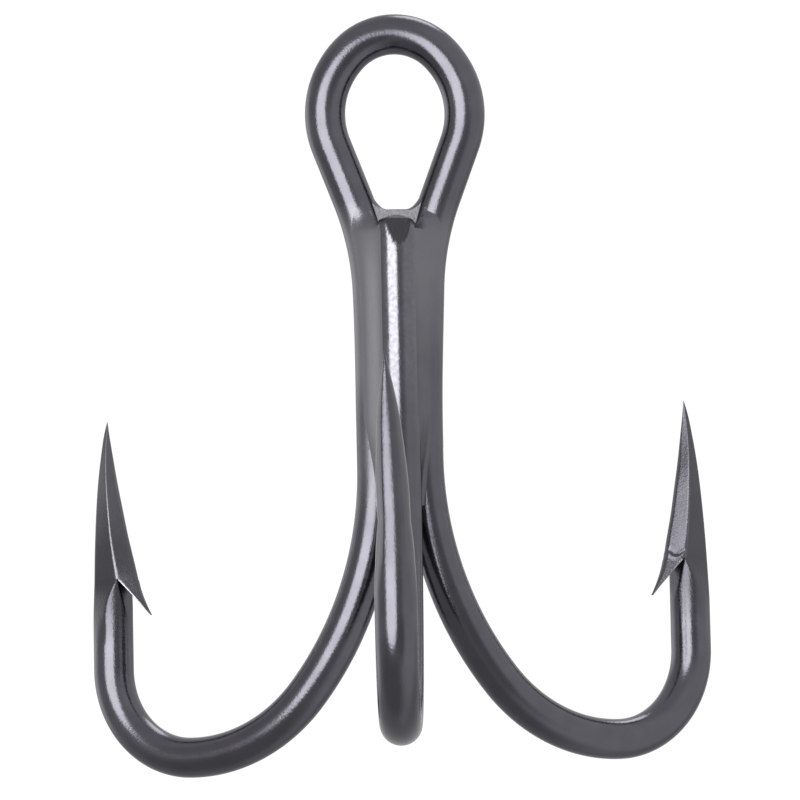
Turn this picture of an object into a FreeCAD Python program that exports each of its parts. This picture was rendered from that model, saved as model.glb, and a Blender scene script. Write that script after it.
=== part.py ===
import FreeCAD, Part
import math
import os

import Sketcher
from FreeCAD import Placement, Rotation, Vector

# A large treble fishing hook, in millimetres.  The origin is the centre of the line eye, which lies in the
# XZ plane.  +Z points up along the shank and -Y along the single hook.  One wire is bent into the eye and
# the two rear hooks, a second wire is the single hook, and braze joins the three shanks.

SIZES = {
    # the wire and the bundle of shanks
    "wire_diameter": 2.0,
    "leg_offset": 1.13,            # half the distance between the two legs below the eye
    "single_depth": 1.66,          # from the legs' plane forward to the single hook's shank
    "single_top": -5.5,            # upper end of the single hook's wire
    "flat_bottom": -6.9,           # the slanting flat ground on the front of that end
    "flat_depth": 0.29,
    "leg_end": -16.6,              # where the legs hand over to the hooks
    # the eye, a teardrop of tangent arcs given by the wire's centre line
    "eye_top_radius": 3.05,
    "eye_top_turn": 89.0,
    "eye_side_radius": 4.38,
    "eye_side_turn": 66.1,
    "eye_half_width": 3.445,
    "neck_radius": 14.2,
    "neck_turn": 18.5,
    "leg_bow_radius": 200.0,
    "leg_bow_turn": 2.1,
    # the directions of the hooks, seen from above
    "left_turn": 150.0,
    "right_turn": 30.0,
    "single_turn": -91.96,
    "left_lift": -0.25,
    "right_lift": 0.25,
    "single_lift": 0.0,
    # the bend of a hook: three tangent arcs that add up to half a turn
    "bend_start": -17.32,
    "bend1_radius": 16.11,
    "bend1_turn": 42.6,
    "bend2_radius": 8.64,
    "bend2_turn": 50.2,
    "bend3_radius": 4.6,
    # the ground point, as depths below its tip, and the barb cut from it
    "point_height": 12.54,
    "notch_depth": 8.05,
    "notch_edge": 0.68,
    "barb_depth": 9.95,
    "barb_edge": 2.29,
    "barb_flat": 0.05,
    "barb_half_width": 0.72,
    "cut_reach": 1.0,              # how far the cuts run on past the metal
    "left_lean": 0.0,
    "right_lean": 0.0,
    "single_lean": -0.3,
    # the braze in the grooves between the wires
    "braze_top": -4.75,
    "groove_top": -5.6,
    "braze_bottom": -19.0,
}

# The ground point's sections below the tip: depth, outer edge, inner edge, the two side ridges' place and
# half width, and the share that the section takes of the tip's sideways lean.
SECTION_COLUMNS = ("depth", "outer", "inner", "ridge", "half_width", "share")
POINT_SECTIONS = (
    (0.04, 0.05, -0.01, 0.02, 0.02, 1.0),
    (1.85, 0.47, -0.28, -0.03, 0.34, 0.72),
    (4.25, 0.79, -0.70, -0.23, 0.64, 0.36),
    (6.40, 0.96, -1.13, -0.48, 0.78, 0.1),
)

# Corners of the braze outlines: the wire that each is measured from, then across and along in wire radii.
GROOVE_CORNERS = (
    ("leg", 0.07, -0.52),
    ("leg", 0.37, -0.84),
    ("single", 1.1, 0.53),
    ("single", 0.85, 0.1),
    ("single", 0.5, 0.39),
)
CORE_CORNERS = (
    ("single", 0.3, 0.7),
    ("leg", -0.5, -0.45),
    ("leg", 0.47, 0.0),
    ("leg", 0.37, 0.7),
    ("leg", -0.4, 0.5),
)
WIRE_MIDDLES = {"leg": ("Sizes.leg_offset", "0"), "single": ("0", "-Sizes.single_depth")}

DOC = FreeCAD.newDocument("treble_hook")
WIRE_RADIUS = "Sizes.wire_diameter / 2"
BEND12 = "(Sizes.bend1_turn + Sizes.bend2_turn)"

# Where a hook's point stands: out from its shank, and up from the start of its bend.
POINT_REACH = (
    "Sizes.bend1_radius * (1 - cos(Sizes.bend1_turn))"
    f" + Sizes.bend2_radius * (cos(Sizes.bend1_turn) - cos({BEND12}))"
    f" + Sizes.bend3_radius * (cos({BEND12}) + 1)"
)
POINT_RISE = (
    "Sizes.point_height - Sizes.bend1_radius * sin(Sizes.bend1_turn)"
    f" - Sizes.bend2_radius * (sin({BEND12}) - sin(Sizes.bend1_turn))"
    f" + Sizes.bend3_radius * sin({BEND12})"
)

# The straight side of the eye closes the gap between the side arc's end and the neck.
EYE_TAPER = "(Sizes.neck_turn + Sizes.leg_bow_turn)"
EYE_SIDE_END = f"(Sizes.eye_half_width - Sizes.eye_side_radius * (1 - cos({EYE_TAPER})))"
NECK_WIDTH = f"Sizes.neck_radius * (cos(Sizes.leg_bow_turn) - cos({EYE_TAPER}))"
BOW_WIDTH = "Sizes.leg_bow_radius * (1 - cos(Sizes.leg_bow_turn))"
EYE_STRAIGHT = f"({EYE_SIDE_END} - {NECK_WIDTH} - {BOW_WIDTH} - Sizes.leg_offset) / sin({EYE_TAPER})"
LEG_STRAIGHT = (
    f"-Sizes.leg_end - Sizes.eye_side_radius * sin({EYE_TAPER}) - ({EYE_STRAIGHT}) * cos({EYE_TAPER})"
    f" - Sizes.neck_radius * (sin({EYE_TAPER}) - sin(Sizes.leg_bow_turn))"
    " - Sizes.leg_bow_radius * sin(Sizes.leg_bow_turn)"
)


def make_sheet():
    """Put every driving dimension in the spreadsheet, one named cell each."""
    sheet = DOC.addObject("Spreadsheet::Sheet", "Sizes")
    cells = dict(SIZES)
    for number, section in enumerate(POINT_SECTIONS, start=1):
        for column, size in zip(SECTION_COLUMNS, section):
            cells[f"section{number}_{column}"] = size
    for row, (alias, size) in enumerate(cells.items(), start=1):
        sheet.set(f"A{row}", alias)
        sheet.set(f"B{row}", str(size))
        sheet.setAlias(f"B{row}", alias)
    DOC.recompute()
    return sheet


def value(expression):
    """The number that an expression on the sheet gives now."""
    return float(SHEET.evalExpression(expression))


def new_body(name):
    return DOC.addObject("PartDesign::Body", name)


def new_sketch(body, name, role, base=("0", "0", "0"), turn="0"):
    """A sketch on an origin plane, moved by base and turned about the world's vertical."""
    sketch = body.newObject("Sketcher::SketchObject", name)
    plane = next(item for item in body.Origin.OriginFeatures if item.Role == role)
    vertical = Vector(0, 0, 1) if role == "XY_Plane" else Vector(0, 1, 0)
    sketch.AttachmentSupport = [(plane, "")]
    sketch.MapMode = "FlatFace"
    sketch.AttachmentOffset = Placement(Vector(), Rotation(vertical, value(turn)))
    for letter, distance in zip("xyz", base):
        sketch.setExpression(f"AttachmentOffset.Base.{letter}", distance)
    sketch.setExpression("AttachmentOffset.Rotation.Angle", turn)
    return sketch


def limit(sketch, kind, where, expression, unit="mm"):
    """Add one dimension to a sketch and bind it to the sheet."""
    size = value(expression)
    start = math.radians(size) if unit == "deg" else size
    index = sketch.addConstraint(Sketcher.Constraint(kind, *where, start))
    sketch.setExpression(f"Constraints[{index}]", f"({expression}) * 1 {unit}")


def draw_chain(sketch, heading, pieces):
    """Lines and arcs end to end from the sketch's origin, each tangent to the one before."""
    place = Vector(0, 0, 0)
    last_end = None
    for kind, size, *turn in pieces:
        ahead = Vector(math.cos(heading), math.sin(heading), 0)
        if kind == "line":
            end = place + ahead * value(size)
            geometry = sketch.addGeometry(Part.LineSegment(place, end))
            first, last = 1, 2
            limit(sketch, "Distance", (geometry,), size)
        else:
            side = 1 if kind == "left" else -1
            sweep = math.radians(value(turn[0]))
            centre = place + Vector(-ahead.y, ahead.x, 0) * value(size) * side
            start = heading - side * math.pi / 2
            low, high = sorted((start, start + side * sweep))
            circle = Part.Circle(centre, Vector(0, 0, 1), value(size))
            geometry = sketch.addGeometry(Part.ArcOfCircle(circle, low, high))
            first, last = (1, 2) if side > 0 else (2, 1)
            heading += side * sweep
            end = circle.value(start + side * sweep)
            limit(sketch, "Radius", (geometry,), size)
            limit(sketch, "Angle", (geometry,), turn[0], "deg")
        if last_end is None:
            sketch.addConstraint(Sketcher.Constraint("Coincident", geometry, first, -1, 1))
            sketch.addConstraint(Sketcher.Constraint("Vertical", geometry))
        else:
            sketch.addConstraint(Sketcher.Constraint("Tangent", *last_end, geometry, first))
        place, last_end = end, (geometry, last)


def draw_outline(sketch, corners):
    """A closed outline of straight edges whose corners are pairs of expressions."""
    points = [Vector(value(across), value(along), 0) for across, along in corners]
    edges = [Part.LineSegment(points[i - 1], points[i]) for i in range(len(points))]
    sketch.addGeometry(edges)
    for i, (across, along) in enumerate(corners):
        sketch.addConstraint(Sketcher.Constraint("Coincident", i, 2, (i + 1) % len(points), 1))
        limit(sketch, "DistanceX", (-1, 1, i, 2), across)
        limit(sketch, "DistanceY", (-1, 1, i, 2), along)


def add_wire(body, name, base, turn, heading, pieces):
    """Sweep the round wire along a chain that starts upright at base."""
    across, forward, height = base
    path = new_sketch(body, f"{name}_path", "XZ_Plane", (across, height, forward), turn)
    draw_chain(path, heading, pieces)
    section = new_sketch(body, f"{name}_section", "XY_Plane", (across, f"-({forward})", height))
    circle = section.addGeometry(Part.Circle(Vector(), Vector(0, 0, 1), value(WIRE_RADIUS)))
    section.addConstraint(Sketcher.Constraint("Coincident", circle, 3, -1, 1))
    limit(section, "Radius", (circle,), WIRE_RADIUS)
    pipe = body.newObject("PartDesign::AdditivePipe", f"{name}_wire")
    pipe.Profile = section
    pipe.Spine = (path, [])
    DOC.recompute()


def hook_pieces(straight):
    """The wire of one hook, from its shank down round the bend and up to the barb's notch."""
    return [
        ("line", straight),
        ("left", "Sizes.bend1_radius", "Sizes.bend1_turn"),
        ("left", "Sizes.bend2_radius", "Sizes.bend2_turn"),
        ("left", "Sizes.bend3_radius", f"180 - {BEND12}"),
        ("line", "Sizes.point_height - Sizes.notch_depth"),
    ]


def eye_pieces():
    """The wire from the left leg up round the eye to the right leg."""
    rise = [
        ("line", LEG_STRAIGHT),
        ("left", "Sizes.leg_bow_radius", "Sizes.leg_bow_turn"),
        ("left", "Sizes.neck_radius", "Sizes.neck_turn"),
        ("line", EYE_STRAIGHT),
        ("right", "Sizes.eye_side_radius", "Sizes.eye_side_turn"),
    ]
    top = ("right", "Sizes.eye_top_radius", "Sizes.eye_top_turn")
    return rise + [top] + rise[::-1]


def draw_split_circle(sketch):
    """The wire's circle in four arcs that meet on the ground point's edges and ridges."""
    radius = value(WIRE_RADIUS)
    ridge = math.pi - math.asin(value("Sizes.barb_half_width") / radius)
    marks = (0.0, ridge, math.pi, 2 * math.pi - ridge, 2 * math.pi)
    circle = Part.Circle(Vector(), Vector(0, 0, 1), radius)
    for first, last in zip(marks, marks[1:]):
        sketch.addGeometry(Part.ArcOfCircle(circle, first, last))
    for i in range(4):
        sketch.addConstraint(Sketcher.Constraint("Coincident", i, 3, -1, 1))
        sketch.addConstraint(Sketcher.Constraint("Coincident", i, 2, (i + 1) % 4, 1))
    sketch.addConstraint(Sketcher.Constraint("PointOnObject", 0, 1, -1))
    sketch.addConstraint(Sketcher.Constraint("PointOnObject", 2, 1, -1))
    limit(sketch, "Radius", (0,), WIRE_RADIUS)
    limit(sketch, "DistanceY", (-1, 1, 0, 2), "Sizes.barb_half_width")
    limit(sketch, "DistanceY", (2, 2, -1, 1), "Sizes.barb_half_width")


def add_loft(body, name, sections):
    loft = body.newObject("PartDesign::AdditiveLoft", name)
    loft.Profile = sections[0]
    loft.Sections = sections[1:]
    loft.Ruled = True
    DOC.recompute()


def cut_through(body, name, role, corners):
    """Cut an outline on an origin plane right through the body, both ways."""
    before = body.Shape.Volume
    sketch = new_sketch(body, f"{name}_outline", role)
    draw_outline(sketch, corners)
    pocket = body.newObject("PartDesign::Pocket", name)
    pocket.Profile = sketch
    pocket.Type = "ThroughAll"
    pocket.Midplane = True
    DOC.recompute()
    if body.Shape.Volume >= before:
        raise RuntimeError(f"{name} removed nothing")


def make_point(side):
    """The ground spear of one hook with its barb, built tip up about its own wire's axis."""
    body = new_body(f"{side}_point")
    sections = []
    for number in range(1, len(POINT_SECTIONS) + 1):
        depth, outer, inner, ridge, half_width, share = (
            f"Sizes.section{number}_{column}" for column in SECTION_COLUMNS
        )
        lean = f"Sizes.{side}_lean * {share}"
        sketch = new_sketch(body, f"{side}_section{number}", "XY_Plane", ("0", lean, f"-{depth}"))
        draw_outline(sketch, [(outer, "0"), (ridge, half_width), (inner, "0"), (ridge, f"-{half_width}")])
        sections.append(sketch)
    root = new_sketch(body, f"{side}_root", "XY_Plane", ("0", "0", "-Sizes.notch_depth"))
    draw_split_circle(root)
    add_loft(body, f"{side}_spear", sections + [root])
    add_barb(body, side)
    return body


def add_barb(body, side):
    """The raised barb: a tapering wedge on the spear's inner side, cut off below by the chisel's slope."""
    last = f"Sizes.section{len(POINT_SECTIONS)}"
    lean = f"Sizes.{side}_lean * {last}_share"
    upper = new_sketch(body, f"{side}_barb_upper", "XY_Plane", ("0", lean, f"-{last}_depth"))
    draw_outline(upper, [
        (f"{last}_ridge", f"-{last}_half_width"),
        (f"{last}_ridge", f"{last}_half_width"),
        (f"{last}_inner", "0"),
    ])
    lower = new_sketch(body, f"{side}_barb_lower", "XY_Plane", ("0", "0", "-Sizes.barb_depth"))
    draw_outline(lower, [
        ("-Sizes.notch_edge", "-Sizes.barb_half_width"), ("-Sizes.notch_edge", "Sizes.barb_half_width"),
        ("-Sizes.barb_edge", "0"),
    ])
    add_loft(body, f"{side}_barb", [upper, lower])
    below = "-Sizes.barb_depth - Sizes.cut_reach"
    cut_through(body, f"{side}_undercut", "XZ_Plane", [
        ("-Sizes.notch_edge", "-Sizes.notch_depth"),
        ("-Sizes.barb_edge + Sizes.barb_flat", "-Sizes.barb_depth"),
        ("-Sizes.barb_edge + Sizes.barb_flat", below),
        ("Sizes.notch_edge", below),
        ("Sizes.notch_edge", "-Sizes.notch_depth"),
    ])


def stand_point(body, side, base):
    """Place a point on the end of its hook's wire."""
    across, along = base
    turn = f"Sizes.{side}_turn"
    body.Placement = Placement(Vector(), Rotation(Vector(0, 0, 1), value(turn)))
    body.setExpression("Placement.Base.x", f"{across} + ({POINT_REACH}) * cos({turn})")
    body.setExpression("Placement.Base.y", f"{along} + ({POINT_REACH}) * sin({turn})")
    body.setExpression("Placement.Base.z", f"Sizes.bend_start + Sizes.{side}_lift + {POINT_RISE}")
    body.setExpression("Placement.Rotation.Angle", turn)
    DOC.recompute()


def fuse(label, parts):
    whole = DOC.addObject("Part::MultiFuse", label)
    whole.Shapes = parts
    whole.Refine = True
    DOC.recompute()
    return whole


def make_double_hook():
    """One wire: the eye, its two legs, and the left and right hooks that they turn into."""
    wire = new_body("double_wire")
    add_wire(wire, "eye", ("-Sizes.leg_offset", "0", "Sizes.leg_end"), "0", math.pi / 2, eye_pieces())
    parts = [wire]
    for side, across in (("left", "-Sizes.leg_offset"), ("right", "Sizes.leg_offset")):
        straight = f"Sizes.leg_end - Sizes.bend_start - Sizes.{side}_lift"
        base = (across, "0", "Sizes.leg_end")
        add_wire(wire, side, base, f"Sizes.{side}_turn", -math.pi / 2, hook_pieces(straight))
        point = make_point(side)
        stand_point(point, side, (across, "0"))
        parts.append(point)
    return fuse("double_hook_wire", parts)


def make_single_hook():
    """The front hook: a straight shank in the groove between the legs, then the same bend and point."""
    wire = new_body("single_wire")
    straight = "Sizes.single_top - Sizes.bend_start - Sizes.single_lift"
    base = ("0", "Sizes.single_depth", "Sizes.single_top")
    add_wire(wire, "single", base, "Sizes.single_turn", -math.pi / 2, hook_pieces(straight))
    front = f"-Sizes.single_depth - {WIRE_RADIUS}"
    above = "Sizes.single_top + Sizes.cut_reach"
    cut_through(wire, "single_flat", "YZ_Plane", [
        (front, "Sizes.flat_bottom"),
        (f"{front} + Sizes.flat_depth", "Sizes.single_top"),
        (f"{front} + Sizes.flat_depth", above),
        (f"{front} - Sizes.cut_reach", above),
        (f"{front} - Sizes.cut_reach", "Sizes.flat_bottom"),
    ])
    point = make_point("single")
    stand_point(point, "single", ("0", "-Sizes.single_depth"))
    return fuse("single_hook_wire", [wire, point])


def make_braze(label, outline, top, wires):
    """A run of braze: an upright prism whose sides end inside the wires, less the wires."""
    body = new_body(f"{label}_blank")
    sketch = new_sketch(body, f"{label}_outline", "XY_Plane", ("0", "0", "Sizes.braze_bottom"))
    draw_outline(sketch, outline)
    pad = body.newObject("PartDesign::Pad", f"{label}_prism")
    pad.Profile = sketch
    pad.setExpression("Length", f"{top} - Sizes.braze_bottom")
    DOC.recompute()
    braze = DOC.addObject("Part::Cut", label)
    braze.Base = body
    braze.Tool = wires
    DOC.recompute()
    return braze


def braze_outline(corners, side):
    """The corners' expressions on one side of the shank; side is -1 for left, 1 for right."""
    outline = []
    for wire, across, along in corners:
        middle_across, middle_along = WIRE_MIDDLES[wire]
        outline.append((
            f"{side} * ({middle_across} + {across} * ({WIRE_RADIUS}))",
            f"{middle_along} + {along} * ({WIRE_RADIUS})",
        ))
    return outline


def check(objects):
    """Stop if anything in the document failed or a sub-part isn't a sound solid."""
    for item in DOC.Objects:
        if {"Invalid", "Error"} & set(item.State):
            raise RuntimeError(f"{item.Name} failed: {item.State}")
    for item in objects:
        if item.Shape.isNull() or not item.Shape.isValid() or not item.Shape.Solids:
            raise RuntimeError(f"{item.Label} has no sound solid")
        print(item.Label, "solids", len(item.Shape.Solids), "volume", round(item.Shape.Volume, 3))


SHEET = make_sheet()
double_hook = make_double_hook()
single_hook = make_single_hook()
wires = fuse("both_wires", [double_hook, single_hook])
core = braze_outline(CORE_CORNERS, 1) + braze_outline(CORE_CORNERS[::-1], -1)
subparts = [
    double_hook,
    single_hook,
    make_braze("core_braze", core, "Sizes.braze_top", wires),
    make_braze("front_left_braze", braze_outline(GROOVE_CORNERS, -1), "Sizes.groove_top", wires),
    make_braze("front_right_braze", braze_outline(GROOVE_CORNERS, 1), "Sizes.groove_top", wires),
]
check(subparts)

os.makedirs("parts", exist_ok=True)
for subpart in subparts:
    subpart.Shape.exportStep(f"parts/{subpart.Label}.step")
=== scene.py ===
import math

import bmesh
import bpy
import numpy as np
from mathutils import Matrix, Vector


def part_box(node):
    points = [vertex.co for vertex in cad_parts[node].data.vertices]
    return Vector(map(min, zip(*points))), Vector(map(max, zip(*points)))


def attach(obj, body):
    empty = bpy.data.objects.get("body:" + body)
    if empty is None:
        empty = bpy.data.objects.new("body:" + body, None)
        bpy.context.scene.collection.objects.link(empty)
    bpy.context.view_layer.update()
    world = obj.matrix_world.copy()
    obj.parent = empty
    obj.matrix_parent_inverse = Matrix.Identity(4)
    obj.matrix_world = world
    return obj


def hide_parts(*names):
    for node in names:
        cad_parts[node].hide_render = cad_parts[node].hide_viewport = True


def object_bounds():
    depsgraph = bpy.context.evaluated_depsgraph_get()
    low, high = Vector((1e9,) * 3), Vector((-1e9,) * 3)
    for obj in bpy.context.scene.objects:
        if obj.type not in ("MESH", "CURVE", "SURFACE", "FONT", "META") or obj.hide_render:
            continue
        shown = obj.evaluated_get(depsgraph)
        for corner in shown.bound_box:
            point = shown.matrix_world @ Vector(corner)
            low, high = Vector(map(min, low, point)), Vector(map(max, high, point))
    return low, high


# A treble fishing hook in black nickel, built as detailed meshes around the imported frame.  Sizes are in
# millimetres until a mesh is made, and MM turns them into the frame's metres.

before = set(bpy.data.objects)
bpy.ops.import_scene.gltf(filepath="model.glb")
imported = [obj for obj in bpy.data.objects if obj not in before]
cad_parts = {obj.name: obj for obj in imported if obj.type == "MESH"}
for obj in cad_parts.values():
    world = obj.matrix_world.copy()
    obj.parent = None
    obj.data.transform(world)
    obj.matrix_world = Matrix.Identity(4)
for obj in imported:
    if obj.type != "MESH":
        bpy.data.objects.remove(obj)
CAD_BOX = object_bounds()
MM = 0.001

# The wire, where the three shanks stand and, as radius and degrees, how they bend into hooks.
WIRE_RADIUS = 1.0
LEG_OFFSET = 1.13
SINGLE_DEPTH = 1.66
LEG_END = -16.6
BEND_START = -17.32
BENDS = ((16.11, 42.6), (8.64, 50.2), (4.6, 87.2))
POINT_HEIGHT = 12.54
RING = 96                      # points round the wire
STEP = 0.19                    # spacing of the rings along the wire
POINT_STEP = 0.075             # and along a ground point

# The eye: a teardrop of tangent arcs along the wire's centre line, as radius and degrees.
EYE_TOP = (3.05, 89.0)
EYE_SIDE = (4.38, 66.1)
EYE_HALF_WIDTH = 3.445
NECK = (14.2, 18.5)
LEG_BOW = (200.0, 2.1)

# How far the bent eye sits off the shank's middle, and the heights between which that grows.
EYE_SET = 0.085
EYE_SET_HEIGHTS = (-15.5, -8.5)

# Each hook: where its shank stands, its direction seen from above, its lift and the lean of its tip; how
# round its ground sides are and by how many degrees their ridges run out late; how much its corners are
# rubbed, how often they are eased, how dull its ground faces are and the depth of its chisel nick, if any.
HOOKS = {
    "left": {
        "base": (-LEG_OFFSET, 0.0), "turn": 150.0, "lift": -0.25, "lean": (0.17, 0.0), "bulge": 0.06,
        "late": 0, "rubbed": 0.33, "eased": 2, "ground": 0.5, "nick": 0.0,
    },
    "right": {
        "base": (LEG_OFFSET, 0.0), "turn": 30.0, "lift": 0.25, "lean": (-0.065, 0.0), "bulge": 0.06,
        "late": 0, "rubbed": 0.4, "eased": 2, "ground": 0.5, "nick": 7.6,
    },
    "single": {
        "base": (0.0, -SINGLE_DEPTH), "turn": -91.96, "lift": 0.0, "lean": (0.0, -0.3), "bulge": 0.4,
        "late": 16, "rubbed": 0.0, "eased": 0, "ground": 0.2, "nick": 0.0,
    },
}
LEAN_DEPTH = 8.0               # a tip's lean fades out over this depth
GROUND_FADE = 2.0              # and the dullness of its ground faces over this one, at their lower end
WEAR_FADE = 0.6                # the corners are rubbed less over this depth, at the tip

# The nick that a chisel leaves across the inner faces of a point: sag, width, cut, lip and direction.
NICK_SAG = 0.24
NICK_WIDTH = 0.085
NICK_CUT = 0.05
NICK_LIP = 0.035
NICK_TILT = math.radians(43.0)

# The corners of a point's section, as places in the ring of points.
CHEEK, RIDGE, KEEL, INNER = 10, 29, 43, 48

# The ground point by depth below its tip: the outer edge's x, then x (outward) and y (across) of the cheek,
# the side ridge and the keel's corner.
SPEAR = (
    (0.00, 0.012, 0.010, 0.003, 0.000, 0.008, -0.010, 0.003),
    (0.50, 0.165, 0.145, 0.052, 0.005, 0.090, -0.062, 0.018),
    (1.85, 0.395, 0.346, 0.200, -0.030, 0.340, -0.242, 0.060),
    (3.20, 0.575, 0.495, 0.315, -0.135, 0.545, -0.427, 0.120),
    (4.50, 0.705, 0.607, 0.375, -0.250, 0.655, -0.670, 0.140),
    (5.85, 0.805, 0.695, 0.420, -0.400, 0.745, -0.930, 0.150),
    (7.00, 0.875, 0.755, 0.450, -0.560, 0.765, -1.195, 0.170),
    (8.05, 0.925, 0.800, 0.462, -0.695, 0.719, -1.420, 0.210),
)
KEEL_CROWN = 1.01              # how much further in than its corners the keel's middle stands
NOTCH_DEPTH = 8.05
BARB_DEPTH = 9.9
BARB_CROWN = 0.03              # how far the barb's keel rises between its corners
BARB_KEEL_MOST = 0.92          # the keel's greatest half width, as a share of the barb's
BURR = 0.07                    # the rounding of the barb's lower edges, and its greatest share of the width
BURR_MOST = 0.4
BURR_COUNT = 4                 # the points on that edge, and how rubbed it is
BURR_WEAR = 2.5

# The lifted barb by depth: its keel's corner (x, y), the half width of its root and its underside's x.
BARB = (
    (8.05, -1.420, 0.210, 0.719, -0.695),
    (8.50, -1.530, 0.228, 0.551, -1.068),
    (8.90, -1.690, 0.200, 0.402, -1.400),
    (9.40, -1.960, 0.120, 0.230, -1.815),
    (9.90, -2.270, 0.030, 0.060, -2.205),
)

# Where the ground sides run out on the round wire: radius of the back, angle of the cheek and of the ridge,
# roundness of the side, floor of the scoop below the barb.
RUN_OUT = (
    (8.05, 0.925, 30.0, 133.9, 0.0, 0.695),
    (8.87, 0.958, 30.0, 110.0, 0.0, 0.83),
    (9.85, 0.993, 32.0, 97.0, 0.15, 0.98),
    (10.60, 1.000, 34.0, 100.0, 0.6, 1.0),
    (11.40, 1.000, 37.5, 108.75, 1.0, 1.0),
)
RUN_OUT_DEPTH = 11.4

# The slanting flat ground on the upper end of the single hook's shank.
FLAT_BOTTOM = -6.9
FLAT_SLOPE = 0.21
FLAT_TURN = math.radians(8.0)
END_ROUND = 0.5                # how far down that end's rounding starts, and its height if it weren't cut flat
END_CURVE = 0.55
END_DROP = 0.35                # how much of the rounding lies below the CAD model's end
END_TARNISH = 0.8

# A painted highlight on the front of the single shank, which lightens the plate where the key light's
# reflection
# falls: its greatest share, its spread by degrees round the shank from the front, and the heights between
# which it fades in.
PAINTED_HIGHLIGHT = 0.32
PAINTED_HIGHLIGHT_TURNS = ((-50, 0.0), (-35, 1.0), (-2, 1.0), (8, 0.15), (18, 0.5), (60, 0.4), (85, 0.0))
PAINTED_HIGHLIGHT_HEIGHTS = (-17.0, -12.0)

# Where a film of braze dulls the legs: from the bottom up, it starts, is full, is still full and has gone.
FILM_HEIGHTS = {"left": (-20.5, -17.5, -6.3, -4.4), "right": (-12.5, -8.0, -6.3, -4.4)}
FILM_MOST = {"left": 1.0, "right": 0.5}

# Painted shade on the lower left leg, which dims its highlight: its share by height, and how far out from the
# middle that reaches.
LEG_PAINTED_SHADE = ((-21.5, 0.0), (-18.5, 0.45), (-15.0, 0.45), (-13.0, 0.0))
LEG_PAINTED_SHADE_REACH = 6.0


# ---------------------------------------------------------------------------------------------- curves

def smooth_step(share):
    """A share from 0 to 1 that starts and ends gently."""
    share = min(max(share, 0.0), 1.0)
    return share * share * (3 - 2 * share)


def smooth_table(rows, depth):
    """The rows' columns at a depth, on smooth curves through the rows."""
    table = np.array(rows, float)
    slopes = np.gradient(table[:, 1:], table[:, 0], axis=0)
    place = min(max(np.searchsorted(table[:, 0], depth) - 1, 0), len(table) - 2)
    span = table[place + 1, 0] - table[place, 0]
    share = min(max((depth - table[place, 0]) / span, 0.0), 1.0)
    low, high = table[place, 1:], table[place + 1, 1:]
    low_weight = 2 * share**3 - 3 * share**2 + 1
    return (
        low_weight * low
        + (1 - low_weight) * high
        + (share**3 - 2 * share**2 + share) * span * slopes[place]
        + (share**3 - share**2) * span * slopes[place + 1]
    )


def centre_line(start, heading, pieces, step):
    """Points and headings along straight runs and tangent arcs in a plane; a left turn is positive."""
    place = np.array(start, float)
    points, headings = [place], [heading]
    for size, turn in pieces:
        sweep = math.radians(turn)
        length = abs(size * sweep) if turn else size
        count = max(1, math.ceil(length / step))
        side = math.copysign(1.0, turn)
        for i in range(1, count + 1):
            share = i / count
            if turn:
                ahead = heading + share * sweep
                centre = place + size * side * np.array((-math.sin(heading), math.cos(heading)))
                point = centre + size * side * np.array((math.sin(ahead), -math.cos(ahead)))
            else:
                ahead = heading
                point = place + share * size * np.array((math.cos(heading), math.sin(heading)))
            points.append(point)
            headings.append(ahead)
        place, heading = points[-1], headings[-1]
    return np.array(points), np.array(headings)


def eye_line():
    """The eye's centre line, from the end of one leg up round the loop to the end of the other."""
    taper = math.radians(NECK[1] + LEG_BOW[1])
    bow = math.radians(LEG_BOW[1])
    side_end = EYE_HALF_WIDTH - EYE_SIDE[0] * (1 - math.cos(taper))
    neck_width = NECK[0] * (math.cos(bow) - math.cos(taper))
    bow_width = LEG_BOW[0] * (1 - math.cos(bow))
    straight = (side_end - neck_width - bow_width - LEG_OFFSET) / math.sin(taper)
    below = (
        EYE_SIDE[0] * math.sin(taper) + straight * math.cos(taper)
        + NECK[0] * (math.sin(taper) - math.sin(bow)) + LEG_BOW[0] * math.sin(bow)
    )
    rise = [(-LEG_END - below, 0), LEG_BOW, NECK, (straight, 0), (EYE_SIDE[0], -EYE_SIDE[1])]
    pieces = rise + [(EYE_TOP[0], -EYE_TOP[1])] + rise[::-1]
    return centre_line((-LEG_OFFSET, LEG_END), math.pi / 2, pieces, STEP)


def hook_heading(hook):
    """The direction in which a hook's point stands from its shank, seen from above."""
    turn = math.radians(hook["turn"])
    return np.array((math.cos(turn), math.sin(turn)))


def hook_line(top, lift):
    """A hook's centre line out from its shank, down from top, round the bend and up to the run-out."""
    pieces = [(top - BEND_START - lift, 0), *BENDS, (POINT_HEIGHT - RUN_OUT_DEPTH, 0)]
    return centre_line((0.0, top), -math.pi / 2, pieces, STEP)


# ---------------------------------------------------------------------------------------------- sections

def round_ring():
    """The wire's section, starting at the outside of the bend."""
    angles = np.arange(RING) * 2 * math.pi / RING
    return np.stack((np.cos(angles), np.sin(angles)), axis=1) * WIRE_RADIUS


def mirror_half(half):
    """The whole ring from its half between the outer edge and the middle of the inner side."""
    other = half[-2:0:-1] * (1, -1)
    return np.concatenate((half, other))


def ease_corners(ring, rounds):
    """Round the corners of a closed section a little."""
    for _ in range(rounds):
        ring = 0.5 * ring + 0.25 * (np.roll(ring, 1, axis=0) + np.roll(ring, -1, axis=0))
    return ring


def stretch(first, last, count, bulge=0.0):
    """Points from first up to but without last, on a line that bulges by a share of a round arc."""
    first, last = np.array(first, float), np.array(last, float)
    shares = np.arange(count)[:, None] / count
    line = first + (last - first) * shares
    turn = np.arctan2(first[1], first[0]) + shares * (
        np.arctan2(last[1], last[0]) - np.arctan2(first[1], first[0])
    )
    reach = np.hypot(*first) + shares * (np.hypot(*last) - np.hypot(*first))
    arc = np.concatenate((np.cos(turn), np.sin(turn)), axis=1) * reach
    return line + bulge * (arc - line)


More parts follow.
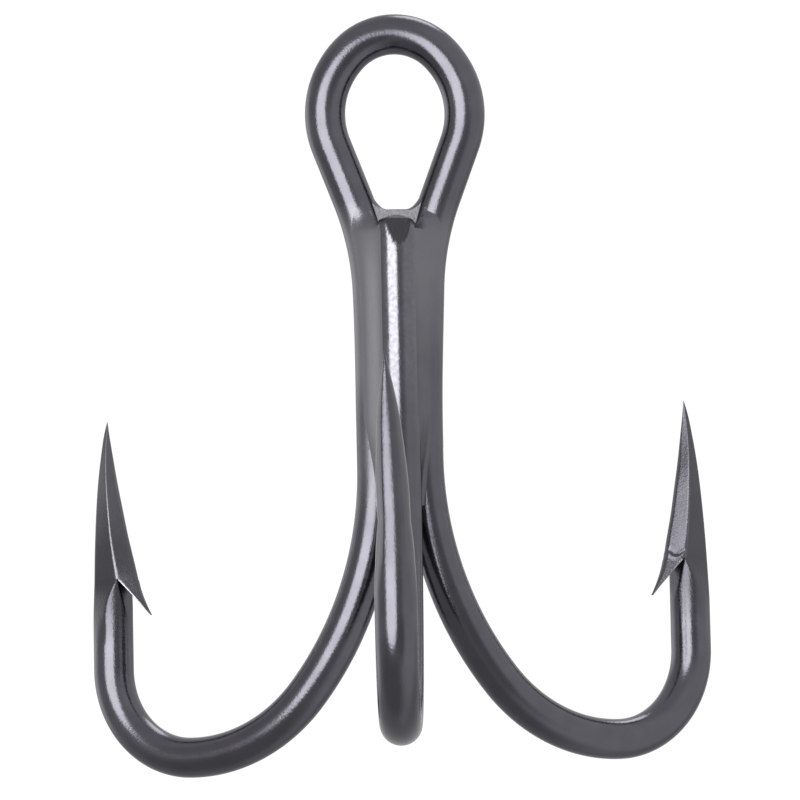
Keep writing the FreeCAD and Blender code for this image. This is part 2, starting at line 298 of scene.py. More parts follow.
def spear_ring(depth, hook):
    """The ground point's section: a flat-sided diamond with a narrow keel along its inner side."""
    outer, cheek_x, cheek_y, ridge_x, ridge_y, keel_x, keel_y = smooth_table(SPEAR, depth)
    half = np.concatenate((
        stretch((outer, 0), (cheek_x, cheek_y), CHEEK, 1.0),
        stretch((cheek_x, cheek_y), (ridge_x, ridge_y), RIDGE - CHEEK, hook["bulge"]),
        stretch((ridge_x, ridge_y), (keel_x, keel_y), KEEL - RIDGE),
        stretch((keel_x, keel_y), (keel_x * KEEL_CROWN, 0), INNER - KEEL),
        [(keel_x * KEEL_CROWN, 0)],
    ))
    if hook["nick"]:
        half[RIDGE + 1:KEEL] += nick(depth - hook["nick"])
    return ease_corners(mirror_half(half), hook["eased"])


def nick(below):
    """How far the chisel's curved nick moves the inner face at a depth below the nick's ends."""
    across = np.linspace(0, math.pi, KEEL - RIDGE - 1)
    below = below - NICK_SAG * np.sin(across)
    lip = NICK_LIP * np.exp(-((below - 2 * NICK_WIDTH) / NICK_WIDTH)**2)
    push = lip - NICK_CUT * np.exp(-(below / NICK_WIDTH)**2)
    return np.stack((-push * math.sin(NICK_TILT), push * math.cos(NICK_TILT)), axis=1)


def run_out_ring(depth, hook):
    """The round wire below the notch, with the ground sides fading out and the chisel's scoop."""
    back, cheek, ridge, roundness, scoop = smooth_table(RUN_OUT, depth)
    ridge += hook["late"] * math.sin(math.pi * (depth - NOTCH_DEPTH) / (RUN_OUT_DEPTH - NOTCH_DEPTH))
    angles = np.radians(np.concatenate((
        np.arange(CHEEK) * cheek / CHEEK,
        cheek + np.arange(RIDGE - CHEEK) * (ridge - cheek) / (RIDGE - CHEEK),
        ridge + np.arange(INNER - RIDGE + 1) * (180 - ridge) / (INNER - RIDGE),
    )))
    half = np.stack((np.cos(angles), np.sin(angles)), axis=1) * WIRE_RADIUS
    half[:CHEEK + 1] *= back
    roundness = hook["bulge"] + (1 - hook["bulge"]) * roundness
    half[CHEEK:RIDGE] = stretch(half[CHEEK], half[RIDGE], RIDGE - CHEEK, roundness)
    inner = half[RIDGE:, 0]
    half[RIDGE:] *= np.minimum(1, scoop / np.maximum(-inner, 0.01))[:, None]
    return ease_corners(mirror_half(half), hook["eased"])


# ---------------------------------------------------------------------------------------------- meshes

CREASE = math.radians(32.0)    # a sharper edge than this stays sharp
WELD = 0.0004                  # points closer than this are one, and faces thinner than SLIVER are dropped
SLIVER = 0.0002


class Shell:
    """Rows of points for one mesh, with the wire's coordinates and shares of wear and painted highlight, of
    film, and of tarnish and painted shade.
    """

    def __init__(self):
        self.points, self.grain, self.faces = [], [], []
        self.shares = {"wear": [], "film": [], "tarnish": []}

    def add_row(self, points, grain, **shares):
        """Add one row, with shares of wear and painted highlight, film, or tarnish and painted shade, and
        return the places of its points.
        """
        start = len(self.points)
        self.points.extend(points)
        self.grain.extend(grain)
        for kind, values in self.shares.items():
            values.extend(np.broadcast_to(shares.get(kind, 0.0), len(points)))
        return np.arange(start, start + len(points))

    def join(self, first, second, closed=True):
        """Faces between two rows of the same length."""
        count = len(first) if closed else len(first) - 1
        for i in range(count):
            j = (i + 1) % len(first)
            self.faces.append((first[i], first[j], second[j], second[i]))

    def close(self, row):
        """Close the end of a tube with a flat face."""
        self.faces.append(tuple(row))

    def make(self, name):
        """The piece that the rows and faces make, smooth but for its creases."""
        mesh = bpy.data.meshes.new(name)
        faces = [tuple(map(int, face)) for face in self.faces]
        mesh.from_pydata((np.array(self.points) * MM).tolist(), [], faces)
        grain = mesh.attributes.new("grain", "FLOAT_VECTOR", "POINT")
        grain.data.foreach_set("vector", np.array(self.grain, np.float32).ravel())
        for kind, values in self.shares.items():
            attribute = mesh.attributes.new(kind, "FLOAT", "POINT")
            attribute.data.foreach_set("value", np.array(values, np.float32))
        weld(mesh)
        mesh.shade_smooth()
        mesh.set_sharp_from_angle(angle=CREASE)
        piece = bpy.data.objects.new(name, mesh)
        bpy.context.scene.collection.objects.link(piece)
        return piece


def weld(mesh):
    """Merge the points that rows share, drop faces of no area and turn every face outward."""
    work = bmesh.new()
    work.from_mesh(mesh)
    bmesh.ops.remove_doubles(work, verts=work.verts, dist=WELD * MM)
    bmesh.ops.dissolve_degenerate(work, edges=work.edges, dist=SLIVER * MM)
    bmesh.ops.recalc_face_normals(work, faces=work.faces)
    work.to_mesh(mesh)
    work.free()


def eye_shift(height):
    """The eye's small sideways set at a height: none on the lower shank."""
    low, high = EYE_SET_HEIGHTS
    return EYE_SET * smooth_step((height - low) / (high - low))


def no_shift(height):
    """The sideways set of a straight shank."""
    return 0.0


def stand_rows(shell, points, headings, origin, across, ring, shift=no_shift):
    """Rings along a centre line in the upright plane through origin and across."""
    length = 0.0
    across = np.array((*across, 0.0))
    beside = np.array((-across[1], across[0], 0.0))
    up = np.array((0.0, 0.0, 1.0))
    origin = np.array((*origin, 0.0))
    last_row, last_point = None, points[0]
    for point, heading in zip(points, headings):
        length += float(np.hypot(*(point - last_point)))
        last_point = point
        centre = origin + across * (point[0] + shift(point[1])) + up * point[1]
        outward = across * math.sin(heading) - up * math.cos(heading)
        row = centre + ring[:, :1] * outward + ring[:, 1:] * beside
        grain = np.column_stack((ring, np.full(len(ring), length)))
        places = shell.add_row(row, grain)
        if last_row is not None:
            shell.join(last_row, places)
        last_row = places
    return last_row, length


def add_point(shell, hook, base_row, length):
    """The run-out, notch, barb and spear on top of a hook's wire."""
    across = np.array((*hook_heading(hook), 0.0))
    beside = np.array((-across[1], across[0], 0.0))
    reach, rise = point_place()
    tip = np.array((*hook["base"], 0.0)) + across * reach
    tip[2] = BEND_START + hook["lift"] + rise
    lean = np.array(hook["lean"])

    def place(section, depth, wear=0.0):
        """Add a section of the point at a depth below its tip."""
        share = max(0.0, 1 - depth / LEAN_DEPTH)
        section = section + lean * share
        row = tip + section[:, :1] * across + section[:, 1:] * beside - (0, 0, depth)
        grain = np.column_stack((section, np.full(len(section), length + RUN_OUT_DEPTH - depth)))
        ground = min(1.0, (RUN_OUT_DEPTH - depth) / GROUND_FADE) * hook["ground"]
        rubbed = np.minimum(1.0, wear * hook["rubbed"])
        return shell.add_row(row, grain, wear=rubbed, tarnish=ground * (1 - rubbed))

    last = base_row
    lower = np.arange(RUN_OUT_DEPTH, NOTCH_DEPTH, -POINT_STEP)
    for depth in lower[1:]:
        row = place(run_out_ring(depth, hook), depth)
        shell.join(last, row)
        last = row

    upper_ring = spear_ring(NOTCH_DEPTH, hook)
    chord_ring = run_out_ring(NOTCH_DEPTH, hook)
    outside = np.r_[0:RIDGE + 1, RING - RIDGE:RING]
    chord_ring[outside] = upper_ring[outside]
    chord = place(chord_ring, NOTCH_DEPTH)
    shell.join(last, chord)
    inside = np.arange(RIDGE, RING - RIDGE + 1)
    wear = corner_wear(NOTCH_DEPTH)
    top = place(upper_ring, NOTCH_DEPTH, wear)
    add_barb(shell, place, upper_ring[inside], chord_ring[inside], top[inside], chord[inside])

    last = top
    count = math.ceil(NOTCH_DEPTH / POINT_STEP)
    for i in range(1, count + 1):
        depth = NOTCH_DEPTH * (1 - i / count)
        row = place(spear_ring(depth, hook), depth, corner_wear(depth))
        shell.join(last, row)
        last = row
    shell.close(last)


def corner_wear(depth):
    """Where a ground point is rubbed bright: along its outer edge, ridges and keel."""
    wear = np.zeros(RING)
    for corner, share in ((0, 0.5), (RIDGE, 1.0), (RING - RIDGE, 1.0), (KEEL, 0.7), (RING - KEEL, 0.7)):
        for offset, fade in ((-1, 0.5), (0, 1.0), (1, 0.5)):
            wear[(corner + offset) % RING] = share * fade
    return wear * min(1.0, depth / WEAR_FADE)


def add_barb(shell, place, upper, chord, top, under):
    """The tongue that the chisel lifts: its upper side, its slanting underside and its blunt tip."""
    count = math.ceil((BARB_DEPTH - NOTCH_DEPTH) / POINT_STEP)
    sides = RIDGE - KEEL
    for i in range(1, count + 1):
        depth = NOTCH_DEPTH + (BARB_DEPTH - NOTCH_DEPTH) * i / count
        keel_x, keel_y, half_width, floor = smooth_table(BARB, depth)
        keel_y = min(keel_y, BARB_KEEL_MOST * half_width)
        half = np.concatenate((
            stretch((floor, half_width), (keel_x, keel_y), -sides),
            stretch((keel_x, keel_y), (keel_x - BARB_CROWN, 0), INNER - KEEL),
            [(keel_x - BARB_CROWN, 0)],
        ))
        edge = min(BURR, BURR_MOST * half_width)
        half[:BURR_COUNT] = round_edge(half[0], half[BURR_COUNT], edge)
        roof = np.concatenate((half, half[-2::-1] * (1, -1)))
        ground = np.column_stack((
            np.full(len(roof), floor), chord[:, 1] / chord[0, 1] * (half_width - edge),
        ))
        wear = np.zeros(len(roof))
        wear[:BURR_COUNT] = wear[-BURR_COUNT:] = BURR_WEAR
        new_top = place(roof, depth, wear)
        new_under = place(ground, depth)
        shell.join(top, new_top, closed=False)
        shell.join(under, new_under, closed=False)
        top, under = new_top, new_under
    shell.join(top, under, closed=False)


def round_edge(corner, ahead, edge):
    """Points that round the barb's lower edge, from its underside to its side, which runs towards ahead."""
    along = (ahead - corner) / np.hypot(*(ahead - corner)) * edge
    shares = np.linspace(0, 1, BURR_COUNT)[:, None]
    return corner - (1 - shares)**2 * (0, edge) + shares**2 * along


def point_place():
    """How far out from its shank a hook's point stands, and how high its tip is above the bend's start."""
    points, _ = centre_line((0.0, 0.0), -math.pi / 2, [*BENDS, (POINT_HEIGHT, 0)], STEP)
    return points[-1]


def add_hook(shell, name, top, ring):
    """One hook's wire, from top down its shank and round its bend, and its point."""
    hook = HOOKS[name]
    points, headings = hook_line(top, hook["lift"])
    row, length = stand_rows(shell, points, headings, hook["base"], hook_heading(hook), ring)
    add_point(shell, hook, row, length)


def make_double_hook():
    """One wire: the eye, its two legs and the two rear hooks."""
    shell = Shell()
    points, headings = eye_line()
    stand_rows(shell, points, headings, (0.0, 0.0), (1.0, 0.0), round_ring(), eye_shift)
    for name in ("left", "right"):
        add_hook(shell, name, LEG_END, round_ring())
    places = np.array(shell.points)
    left = places[:, 0] < 0
    shell.shares["film"] = np.where(left, leg_film(places[:, 2], "left"), leg_film(places[:, 2], "right"))
    # Painted shade: the lower part of the left leg is darkened, which dims its highlight there.
    on_leg = left & (places[:, 0] > -LEG_PAINTED_SHADE_REACH)
    dulled = on_leg * np.interp(places[:, 2], *zip(*LEG_PAINTED_SHADE))
    shell.shares["tarnish"] = np.maximum(shell.shares["tarnish"], dulled)
    return shell.make("double_hook")


def leg_film(heights, side):
    """The share of dulling film of braze at some heights on one leg."""
    most = FILM_MOST[side]
    return np.interp(heights, FILM_HEIGHTS[side], (0.0, most, most, 0.0))


def make_single_hook():
    """The single hook, the upper end of its shank rounded and the front of that end ground to a flat."""
    shell = Shell()
    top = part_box("single_hook_wire")[1].z / MM + END_ROUND - END_DROP
    add_hook(shell, "single", top, round_ring())
    shell.close(np.arange(RING))
    middle = np.array((*HOOKS["single"]["base"], 0.0))
    facing = np.array((math.sin(FLAT_TURN), -math.cos(FLAT_TURN), 0.0))
    places = np.array(shell.points)
    # Painted highlight: the plate on the shank's front is lightened where the key light's reflection falls.
    turns = np.degrees(np.arctan2(places[:, 0], -places[:, 1] - SINGLE_DEPTH))
    painted_highlight = np.interp(places[:, 2], PAINTED_HIGHLIGHT_HEIGHTS, (0.0, 1.0)) * np.interp(turns, *zip(*PAINTED_HIGHLIGHT_TURNS))
    on_shank = np.arange(len(places)) < RING * math.ceil((top - BEND_START) / STEP)
    shell.shares["wear"] = np.array(shell.shares["wear"]) + PAINTED_HIGHLIGHT * painted_highlight * on_shank
    for i, point in enumerate(shell.points):
        above = (point[2] - top + END_ROUND) / END_CURVE
        if above > 0:
            shrink = math.sqrt(1 - above**2)
            shell.points[i] = point = middle + (point - middle) * (shrink, shrink, 1.0)
            shell.shares["tarnish"][i] = END_TARNISH
        reach = (point - middle) @ facing
        limit = WIRE_RADIUS - (point[2] - FLAT_BOTTOM) * FLAT_SLOPE
        if point[2] > FLAT_BOTTOM and reach > limit:
            shell.points[i] = point - (reach - limit) * facing
            shell.shares["tarnish"][i] = 1.0
    return shell.make("single_hook")


# ---------------------------------------------------------------------------------------------- braze

BRAZE_STEP = 0.12              # spacing of the braze's level rows
BRAZE_BOTTOM = -19.6

# The braze between the single shank and a leg.  Its bare face starts and ends at these places, in degrees
# round the leg and round the single shank from the front.
GROOVE_LEG = 38.0
GROOVE_SINGLE = {"left": 50.0, "right": 62.0}
GROOVE_END = 46.0              # the face's direction where it ends
GROOVE_PULL = 0.6              # how far the face follows its directions before it turns
GROOVE_FULL = ((-19.4, 0.0), (-15.0, 1.0), (-6.0, 1.0))     # how full the groove is, by height
GROOVE_HOLLOW = 0.35           # radius of the face where it isn't full
GROOVE_EDGE_SUNK = 0.24        # the share by which its hidden edges lie inside the wires, and its middle
GROOVE_MIDDLE_SUNK = 0.6

# Its shoulder on the leg: where it starts, how far out from the leg's middle, and how gently it rises.
SHOULDER_TOP = {"left": -4.3, "right": -4.8}
SHOULDER_START = 0.97
SHOULDER_RISE = 2.0

# The core behind: radius of the hollow at its rear by height, and how far its flat front lies forward of
# the legs' middles and inward of them.
REAR_RADIUS = (
    (-19.6, 0.15), (-17.0, 0.8), (-9.2, 0.8), (-7.8, 0.98), (-6.6, 1.3), (-5.7, 1.75), (-4.9, 2.4),
)
CORE_FRONT = 0.6
CORE_INSET = 0.3
CORE_FILM = 0.9                # how dulled and how tarnished it is
CORE_TARNISH = 0.3

# The saddle that the core ends in: its height, the rounding of its edge and the rings that it takes, the
# reach, rise and greatest rise of its fillet up the legs, and the depth over which that fades out below.
SADDLE_TOP = -4.9
SADDLE_ROUND = 0.12
SADDLE_RINGS = 7
SADDLE_FILLET = (0.5, 0.3, 0.62)
SADDLE_FADE = 0.8


def leg_centre(side, height):
    """The middle of a leg or of its hook's upper bend at a height; side is -1 for left, 1 for right."""
    if height >= LEG_END:
        points = EYE_POINTS[:len(EYE_POINTS) // 3]      # one leg, below the loop
        reach = np.interp(height, points[:, 1], points[:, 0])
        return np.array((eye_shift(height) - side * reach, 0.0))
    return hook_centre("left" if side < 0 else "right", height)


def hook_centre(name, height):
    """The middle of a hook's shank or upper bend at a height."""
    points = HOOK_POINTS[name]
    falling = points[:np.argmin(points[:, 1])]
    reach = np.interp(-height, -falling[:, 1], falling[:, 0])
    return np.array(HOOKS[name]["base"]) + reach * hook_heading(HOOKS[name])


# The centre lines that the braze follows; those of the hooks start above the highest braze.
EYE_POINTS = eye_line()[0]
LINES_TOP = -2.6
HOOK_POINTS = {name: hook_line(LINES_TOP, hook["lift"])[0] for name, hook in HOOKS.items()}


def hollow(first, second, radius, count, side):
    """Points along the round hollow that touches two wires, from the first to the second."""
    between = second - first
    gap = np.hypot(*between)
    across = np.array((-between[1], between[0])) / gap * side
    reach = WIRE_RADIUS + radius
    centre = (first + second) / 2 + across * math.sqrt(max(reach**2 - gap**2 / 4, 0.01))
    start = np.arctan2(*(first - centre)[::-1])
    end = np.arctan2(*(second - centre)[::-1])
    turn = (end - start + math.pi) % (2 * math.pi) - math.pi
    angles = start + turn * np.linspace(0, 1, count)
    return centre + radius * np.column_stack((np.cos(angles), np.sin(angles)))


def sink(point, centre, share):
    """A point moved from a wire's surface towards a place inside it."""
    return point + (centre - point) * share


def leg_widening(height):
    """How much wider than round a level cut through a leg is, because the leg slants."""
    step = 0.05
    slant = (leg_centre(1, height + step) - leg_centre(1, height - step))[0] / (2 * step)
    return math.hypot(1.0, slant)


def ring_place(middle, place, side, widening=1.0):
    """A point on a wire at a place round it, in degrees from the front towards side."""
    turn = math.radians(place)
    return middle + WIRE_RADIUS * np.array((side * math.sin(turn) * widening, -math.cos(turn)))


def groove_face(leg, single, height, name, side, count=18):
    """The bare face of the filled groove at a height, from the leg to the single shank."""
    widening = leg_widening(height)
    start = ring_place(leg, GROOVE_LEG, side, widening)
    end = ring_place(single, GROOVE_SINGLE[name], side)
    leave, arrive = math.radians(GROOVE_LEG), math.radians(GROOVE_END)
    first = start + GROOVE_PULL * np.array((-side * math.cos(leave), -math.sin(leave)))
    second = end - GROOVE_PULL * np.array((-side * math.cos(arrive), -math.sin(arrive)))
    t = np.linspace(0, 1, count)[:, None]
    full = (1 - t)**3 * start + 3 * (1 - t)**2 * t * first + 3 * (1 - t) * t**2 * second + t**3 * end
    shoulder_end = GROOVE_FULL[-1][0]
    if height > shoulder_end:
        rise = max(0.0, (SHOULDER_TOP[name] - height) / (SHOULDER_TOP[name] - shoulder_end))
        away = (full - leg) / (widening, 1)
        inside = leg + SHOULDER_START * away / np.hypot(*away.T)[:, None] * (widening, 1)
        return inside + (full - inside) * rise**SHOULDER_RISE
    share = smooth_step(np.interp(height, *zip(*GROOVE_FULL)))
    return share * full + (1 - share) * hollow(leg, single, GROOVE_HOLLOW, count, side)


def make_groove(name, side):
    """The filled groove between the single hook's shank and one leg, with its shoulder on the leg."""
    shell = Shell()
    last = None
    for height in np.arange(SHOULDER_TOP[name], BRAZE_BOTTOM, -BRAZE_STEP):
        leg = leg_centre(side, height)
        single = hook_centre("single", height)
        face = groove_face(leg, single, height, name, side)
        outline = np.concatenate((face, [
            sink(face[-1], (leg + single) / 2, GROOVE_EDGE_SUNK),
            sink(face[len(face) // 2], leg, GROOVE_MIDDLE_SUNK),
            sink(face[0], leg, GROOVE_EDGE_SUNK),
        ]))
        points = np.column_stack((outline, np.full(len(outline), height)))
        row = shell.add_row(points, points, film=leg_film(height, name))
        if last is None:
            shell.close(row)
        else:
            shell.join(last, row)
        last = row
    shell.close(last)
    return shell.make(f"front_{name}_fillet")


def core_outline(height, count=41):
    """The core's outline at a height: a rear hollow between the legs and a flat front."""
    left, right = leg_centre(-1, height), leg_centre(1, height)
    rear = hollow(left, right, np.interp(height, *zip(*REAR_RADIUS)), count, 1)
    shares = np.linspace(0, 1, count)[:, None]
    front = right + (left - right) * shares + (CORE_INSET, 0) * (2 * shares - 1) - (0, CORE_FRONT)
    return np.concatenate((rear, front))


def saddle_fillet(places):
    """How far the saddle's surface climbs towards the legs at some places."""
    reach, rise, most = SADDLE_FILLET
    left, right = leg_centre(-1, SADDLE_TOP), leg_centre(1, SADDLE_TOP)
    gap = np.minimum(np.hypot(*(places - left).T), np.hypot(*(places - right).T)) - WIRE_RADIUS
    return np.minimum(most, rise * np.maximum(0, 1 - gap / reach)**2)


def make_core():
    """The braze between the three shanks, up to the saddle that floors the eye."""
    shell = Shell()
    rows = []
    top = core_outline(SADDLE_TOP)
    spine = top * (1, 0) + (0, top[:, 1].mean())
    for share in np.linspace(0, 1, SADDLE_RINGS):
        places = spine + (top - spine) * share
        level = SADDLE_TOP + saddle_fillet(places) + SADDLE_ROUND * math.sqrt(1 - share**2)
        rows.append(np.column_stack((places, level)))
    for height in np.arange(SADDLE_TOP - BRAZE_STEP, BRAZE_BOTTOM, -BRAZE_STEP):
        places = core_outline(height)
        fade = max(0.0, 1 - (SADDLE_TOP - height) / SADDLE_FADE)
        rows.append(np.column_stack((places, height + fade * saddle_fillet(places))))
    last = None
    for points in rows:
        row = shell.add_row(points, points, film=CORE_FILM, tarnish=CORE_TARNISH)
        if last is not None:
            shell.join(last, row)
        last = row
    shell.close(last)
    return shell.make("core_fillet")


# Each piece, the CAD node that it replaces and its material.
PIECES = (
    (make_double_hook(), "double_hook_wire", "plated_wire"),
    (make_single_hook(), "single_hook_wire", "plated_wire"),
    (make_core(), "core_braze", "plated_braze"),
    (make_groove("left", -1), "front_left_braze", "plated_braze"),
    (make_groove("right", 1), "front_right_braze", "plated_braze"),
)


# ---------------------------------------------------------------------------------------------- materials

def add_node(tree, kind, **settings):
    """A new node with its settings."""
    node = tree.nodes.new(kind)
    for name, setting in settings.items():
        setattr(node, name, setting)
    return node


def noise(tree, vector, scale, detail=3.0, roughness=0.5):
    """Fractal noise along a vector, about 0.5."""
    node = add_node(tree, "ShaderNodeTexNoise")
    node.inputs["Scale"].default_value = scale
    node.inputs["Detail"].default_value = detail
    node.inputs["Roughness"].default_value = roughness
    tree.links.new(vector, node.inputs["Vector"])
    return node.outputs["Fac"]


def map_range(tree, value, low, high, to_low, to_high):
    """A value moved from one range to another and held within it."""
    node = add_node(tree, "ShaderNodeMapRange")
    for socket, number in zip(("From Min", "From Max", "To Min", "To Max"), (low, high, to_low, to_high)):
        node.inputs[socket].default_value = number
    tree.links.new(value, node.inputs["Value"])
    return node.outputs["Result"]


def fill(tree, socket, value):
    """Set a socket to a number or a colour, or link it to another socket."""
    if isinstance(value, bpy.types.NodeSocket):
        tree.links.new(value, socket)
    else:
        socket.default_value = value


def math_node(tree, operation, first, second):
    """A sum, product or the like of two sockets or numbers."""
    node = add_node(tree, "ShaderNodeMath", operation=operation)
    fill(tree, node.inputs[0], first)
    fill(tree, node.inputs[1], second)
    return node.outputs[0]


# A Mix node's sockets by its data type: the two that it mixes, and its result.
MIX_SOCKETS = {"FLOAT": (2, 3, 0), "RGBA": (6, 7, 2)}


def mix(tree, data_type, share, first, second):
    """A number or a colour between two others, by a share."""
    node = add_node(tree, "ShaderNodeMix", data_type=data_type)
    low, high, result = MIX_SOCKETS[data_type]
    fill(tree, node.inputs[0], share)
    fill(tree, node.inputs[low], first)
    fill(tree, node.inputs[high], second)
    return node.outputs[result]


def stretched(tree, vector, stretch_by):
    """A vector scaled on each axis."""
    node = add_node(tree, "ShaderNodeVectorMath", operation="MULTIPLY")
    node.inputs[1].default_value = stretch_by
    tree.links.new(vector, node.inputs[0])
    return node.outputs["Vector"]


# The plate, where it is rubbed and where a highlight is painted on, where braze dulls it, and where it is
# tarnished and where shade is painted on.
BLACK_NICKEL = (0.110, 0.107, 0.124)
WORN_AND_SHEEN_NICKEL = (0.36, 0.355, 0.38, 1)
FILM = (0.205, 0.202, 0.220, 1)
TARNISH_AND_SHADE = (0.055, 0.054, 0.06, 1)
CLOUDS = (0.93, 1.07)          # how much darker and lighter the plate is in its clouds
DULL_ROUGHNESS = 0.40
DULL_GRAIN = 0.012             # how much deeper the grain is where the plate is tarnished and where shade is painted

# Each material: its roughness, and the depths of its grain and of its draw lines.
FINISHES = {
    "plated_wire": (0.17, 0.006, 0.0012),
    "plated_braze": (0.20, 0.008, 0.001),
}


def make_plating(name, roughness, grain_height, line_height):
    """Black nickel plate: dark metal with draw lines and a fine grain, rubbed, dulled or tarnished in places,
    with a painted highlight and painted shade in others.
    """
    material = bpy.data.materials.new(name)
    material.use_nodes = True
    tree = material.node_tree
    shader = tree.nodes["Principled BSDF"]
    shader.inputs["Metallic"].default_value = 1.0
    grain = add_node(tree, "ShaderNodeAttribute", attribute_name="grain").outputs["Vector"]
    wear, film, tarnish = (
        add_node(tree, "ShaderNodeAttribute", attribute_name=kind).outputs["Fac"]
        for kind in ("wear", "film", "tarnish")
    )

    cloud = map_range(tree, noise(tree, grain, 0.9, 4.0), 0.3, 0.7, 0.0, 1.0)
    pits = noise(tree, grain, 9.0, 3.0, 0.6)
    lines = noise(tree, stretched(tree, grain, (1.0, 1.0, 0.06)), 14.0, 3.0, 0.6)
    wear_and_sheen_breakup = map_range(tree, noise(tree, grain, 4.0, 4.0), 0.3, 0.6, 0.4, 1.0)

    dark, light = ((*[share * level for level in BLACK_NICKEL], 1) for share in CLOUDS)
    colour = mix(tree, "RGBA", cloud, dark, light)
    # Rubbed corners lighten the plate, and so does the painted highlight on the single shank's front.
    colour = mix(tree, "RGBA", math_node(tree, "MULTIPLY", wear, wear_and_sheen_breakup), colour, WORN_AND_SHEEN_NICKEL)
    colour = mix(tree, "RGBA", film, colour, FILM)
    # Tarnish darkens the plate, and so does the painted shade on the lower left leg.
    colour = mix(tree, "RGBA", tarnish, colour, TARNISH_AND_SHADE)
    tree.links.new(colour, shader.inputs["Base Color"])

    texture = math_node(tree, "ADD", lines, pits)
    rough = map_range(tree, texture, 0.7, 1.3, roughness - 0.04, roughness + 0.05)
    dulled = math_node(tree, "MAXIMUM", film, tarnish)
    dulled = math_node(tree, "MULTIPLY", dulled, DULL_ROUGHNESS - roughness)
    tree.links.new(math_node(tree, "ADD", rough, dulled), shader.inputs["Roughness"])

    depth = math_node(tree, "ADD", grain_height, math_node(tree, "MULTIPLY", tarnish, DULL_GRAIN))
    pits = math_node(tree, "MULTIPLY", pits, depth)
    lines = math_node(tree, "MULTIPLY", lines, line_height)
    bump = add_node(tree, "ShaderNodeBump")
    bump.inputs["Strength"].default_value = 1.0
    bump.inputs["Distance"].default_value = MM
    tree.links.new(math_node(tree, "ADD", pits, lines), bump.inputs["Height"])
    tree.links.new(bump.outputs["Normal"], shader.inputs["Normal"])
    return material


PLATING = {slot: make_plating(f"{slot}_finish", *finish) for slot, finish in FINISHES.items()}
for piece, node, slot in PIECES:
    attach(piece, "root")
    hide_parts(node)
    piece.data.materials.append(PLATING[slot])


# ---------------------------------------------------------------------------------------------- studio

def direction(azimuth, elevation):
    """A unit vector from the hook; azimuth 0 is towards the camera's side, and grows to the right."""
    a, e = math.radians(azimuth), math.radians(elevation)
    return Vector((math.sin(a) * math.cos(e), -math.cos(a) * math.cos(e), math.sin(e)))


HOOK_MIDDLE = (Vector(CAD_BOX[0]) + Vector(CAD_BOX[1])) / 2

# The room that the plate reflects: its radiance, and patches of other radiance, by azimuth, elevation, full
# and fading radius in degrees.
ROOM = 0.74
ROOM_PATCHES = (
    (-60, -55, 25, 62, 0.40),
    (75, 5, 45, 75, 0.95),
    (150, -25, 20, 50, 0.52),
    (-160, -35, 20, 45, 0.50),
    (-75, 25, 12, 30, 0.58),
    (18, -14, 12, 34, 0.42),
    (-125, 4, 8, 24, 1.40),
)
BACKDROP = 1.05                # the white that the camera sees

# The soft lights: azimuth, elevation, half angle as seen from the hook and radiance.
SOFTBOXES = {
    "key_softbox": (-26, 2, 27, 4.6),
    "back_softbox": (150, 62, 14, 3.0),
}
SOFTBOX_DISTANCE = 0.6         # in metres, like half the floor's side
FLOOR_HALF = 0.6
FLOOR_COLOUR = (0.86, 0.86, 0.865, 1)


def make_world():
    """Soft walls for the reflections; the camera sees plain white."""
    world = bpy.data.worlds.new("studio")
    bpy.context.scene.world = world
    world.use_nodes = True
    tree = world.node_tree
    around = add_node(tree, "ShaderNodeTexCoord").outputs["Generated"]
    level = ROOM
    for azimuth, elevation, full, fading, radiance in ROOM_PATCHES:
        facing = add_node(tree, "ShaderNodeVectorMath", operation="DOT_PRODUCT")
        facing.inputs[1].default_value = direction(azimuth, elevation)
        tree.links.new(around, facing.inputs[0])
        patch = add_node(tree, "ShaderNodeMapRange", interpolation_type="SMOOTHSTEP")
        patch.inputs["From Min"].default_value = math.cos(math.radians(fading))
        patch.inputs["From Max"].default_value = math.cos(math.radians(full))
        tree.links.new(facing.outputs["Value"], patch.inputs["Value"])
        level = mix(tree, "FLOAT", patch.outputs["Result"], level, radiance)
    seen = add_node(tree, "ShaderNodeLightPath").outputs["Is Camera Ray"]
    tree.links.new(mix(tree, "FLOAT", seen, level, BACKDROP), tree.nodes["Background"].inputs["Color"])


def make_softbox(name, azimuth, elevation, spread, radiance):
    """A round soft light that faces the hook and spans a half angle as seen from there."""
    radius = SOFTBOX_DISTANCE * math.tan(math.radians(spread))
    data = bpy.data.lights.new(name, "AREA")
    data.shape = "DISK"
    data.size = 2 * radius
    data.energy = radiance * math.pi * math.pi * radius**2
    light = bpy.data.objects.new(name, data)
    towards = direction(azimuth, elevation)
    turn = towards.to_track_quat("Z", "Y").to_matrix().to_4x4()
    light.matrix_world = Matrix.Translation(HOOK_MIDDLE + towards * SOFTBOX_DISTANCE) @ turn
    light.visible_camera = False
    bpy.context.scene.collection.objects.link(light)


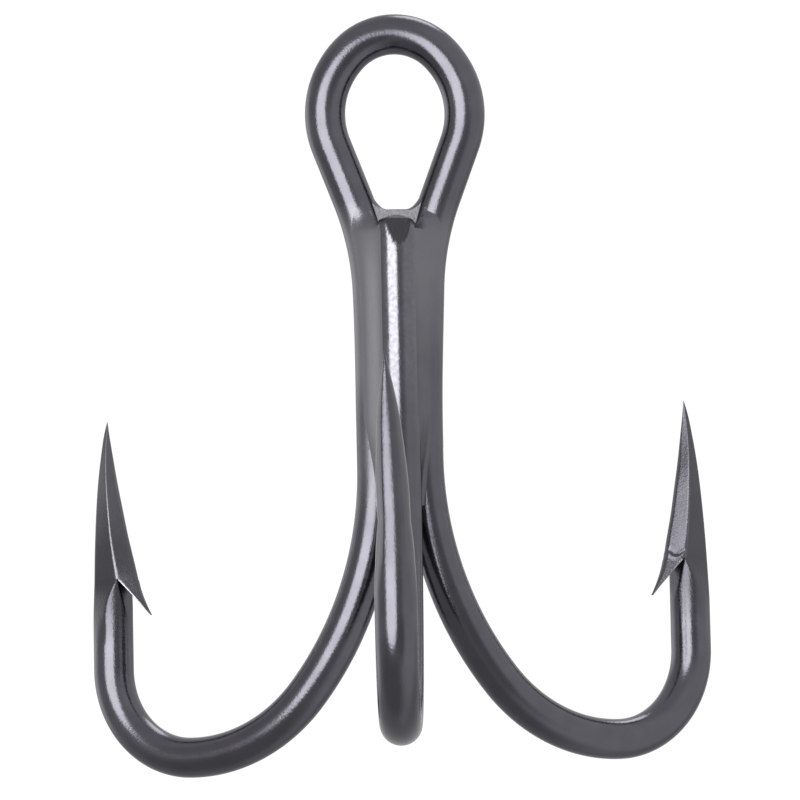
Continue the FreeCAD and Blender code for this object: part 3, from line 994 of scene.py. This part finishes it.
def make_floor():
    """A pale floor under the bends, seen from above only, which the plate doesn't mirror."""
    low = CAD_BOX[0].z
    mesh = bpy.data.meshes.new("floor")
    corners = [(x * FLOOR_HALF, y * FLOOR_HALF, low) for x, y in ((-1, -1), (1, -1), (1, 1), (-1, 1))]
    mesh.from_pydata(corners, [], [(0, 1, 2, 3)])
    floor = bpy.data.objects.new("floor", mesh)
    bpy.context.scene.collection.objects.link(floor)
    material = bpy.data.materials.new("pale_floor")
    material.use_nodes = True
    tree = material.node_tree
    shader = tree.nodes["Principled BSDF"]
    shader.inputs["Base Color"].default_value = FLOOR_COLOUR
    shader.inputs["Roughness"].default_value = 0.7
    clear = add_node(tree, "ShaderNodeBsdfTransparent")
    sides = add_node(tree, "ShaderNodeMixShader")
    tree.links.new(add_node(tree, "ShaderNodeNewGeometry").outputs["Backfacing"], sides.inputs[0])
    tree.links.new(shader.outputs[0], sides.inputs[1])
    tree.links.new(clear.outputs[0], sides.inputs[2])
    tree.links.new(sides.outputs[0], tree.nodes["Material Output"].inputs["Surface"])
    mesh.materials.append(material)
    floor.visible_glossy = False
    floor.visible_shadow = False


# ---------------------------------------------------------------------------------------------- camera

# In degrees and millimetres.
CAMERA_AZIMUTH = -0.6414
CAMERA_ELEVATION = -6.8662
CAMERA_ROLL = -1.2
CAMERA_DISTANCE = 309.0
CAMERA_TARGET = (0.0415, -0.652, -14.311)
LENS = 283.5


def make_camera():
    """The photograph's view: level with the hooks, a little from below."""
    data = bpy.data.cameras.new("camera")
    data.lens = LENS
    data.sensor_width = 36.0
    data.clip_start = 0.01
    data.clip_end = 10.0
    camera = bpy.data.objects.new("camera", data)
    back = direction(CAMERA_AZIMUTH, CAMERA_ELEVATION)
    roll = Matrix.Rotation(math.radians(CAMERA_ROLL), 4, "Z")
    turn = back.to_track_quat("Z", "Y").to_matrix().to_4x4() @ roll
    place = (Vector(CAMERA_TARGET) + back * CAMERA_DISTANCE) * MM
    camera.matrix_world = Matrix.Translation(place) @ turn
    bpy.context.scene.collection.objects.link(camera)
    bpy.context.scene.camera = camera


make_camera()
make_world()
for name, place in SOFTBOXES.items():
    make_softbox(name, *place)
make_floor()
bpy.context.scene.view_settings.view_transform = "Standard"
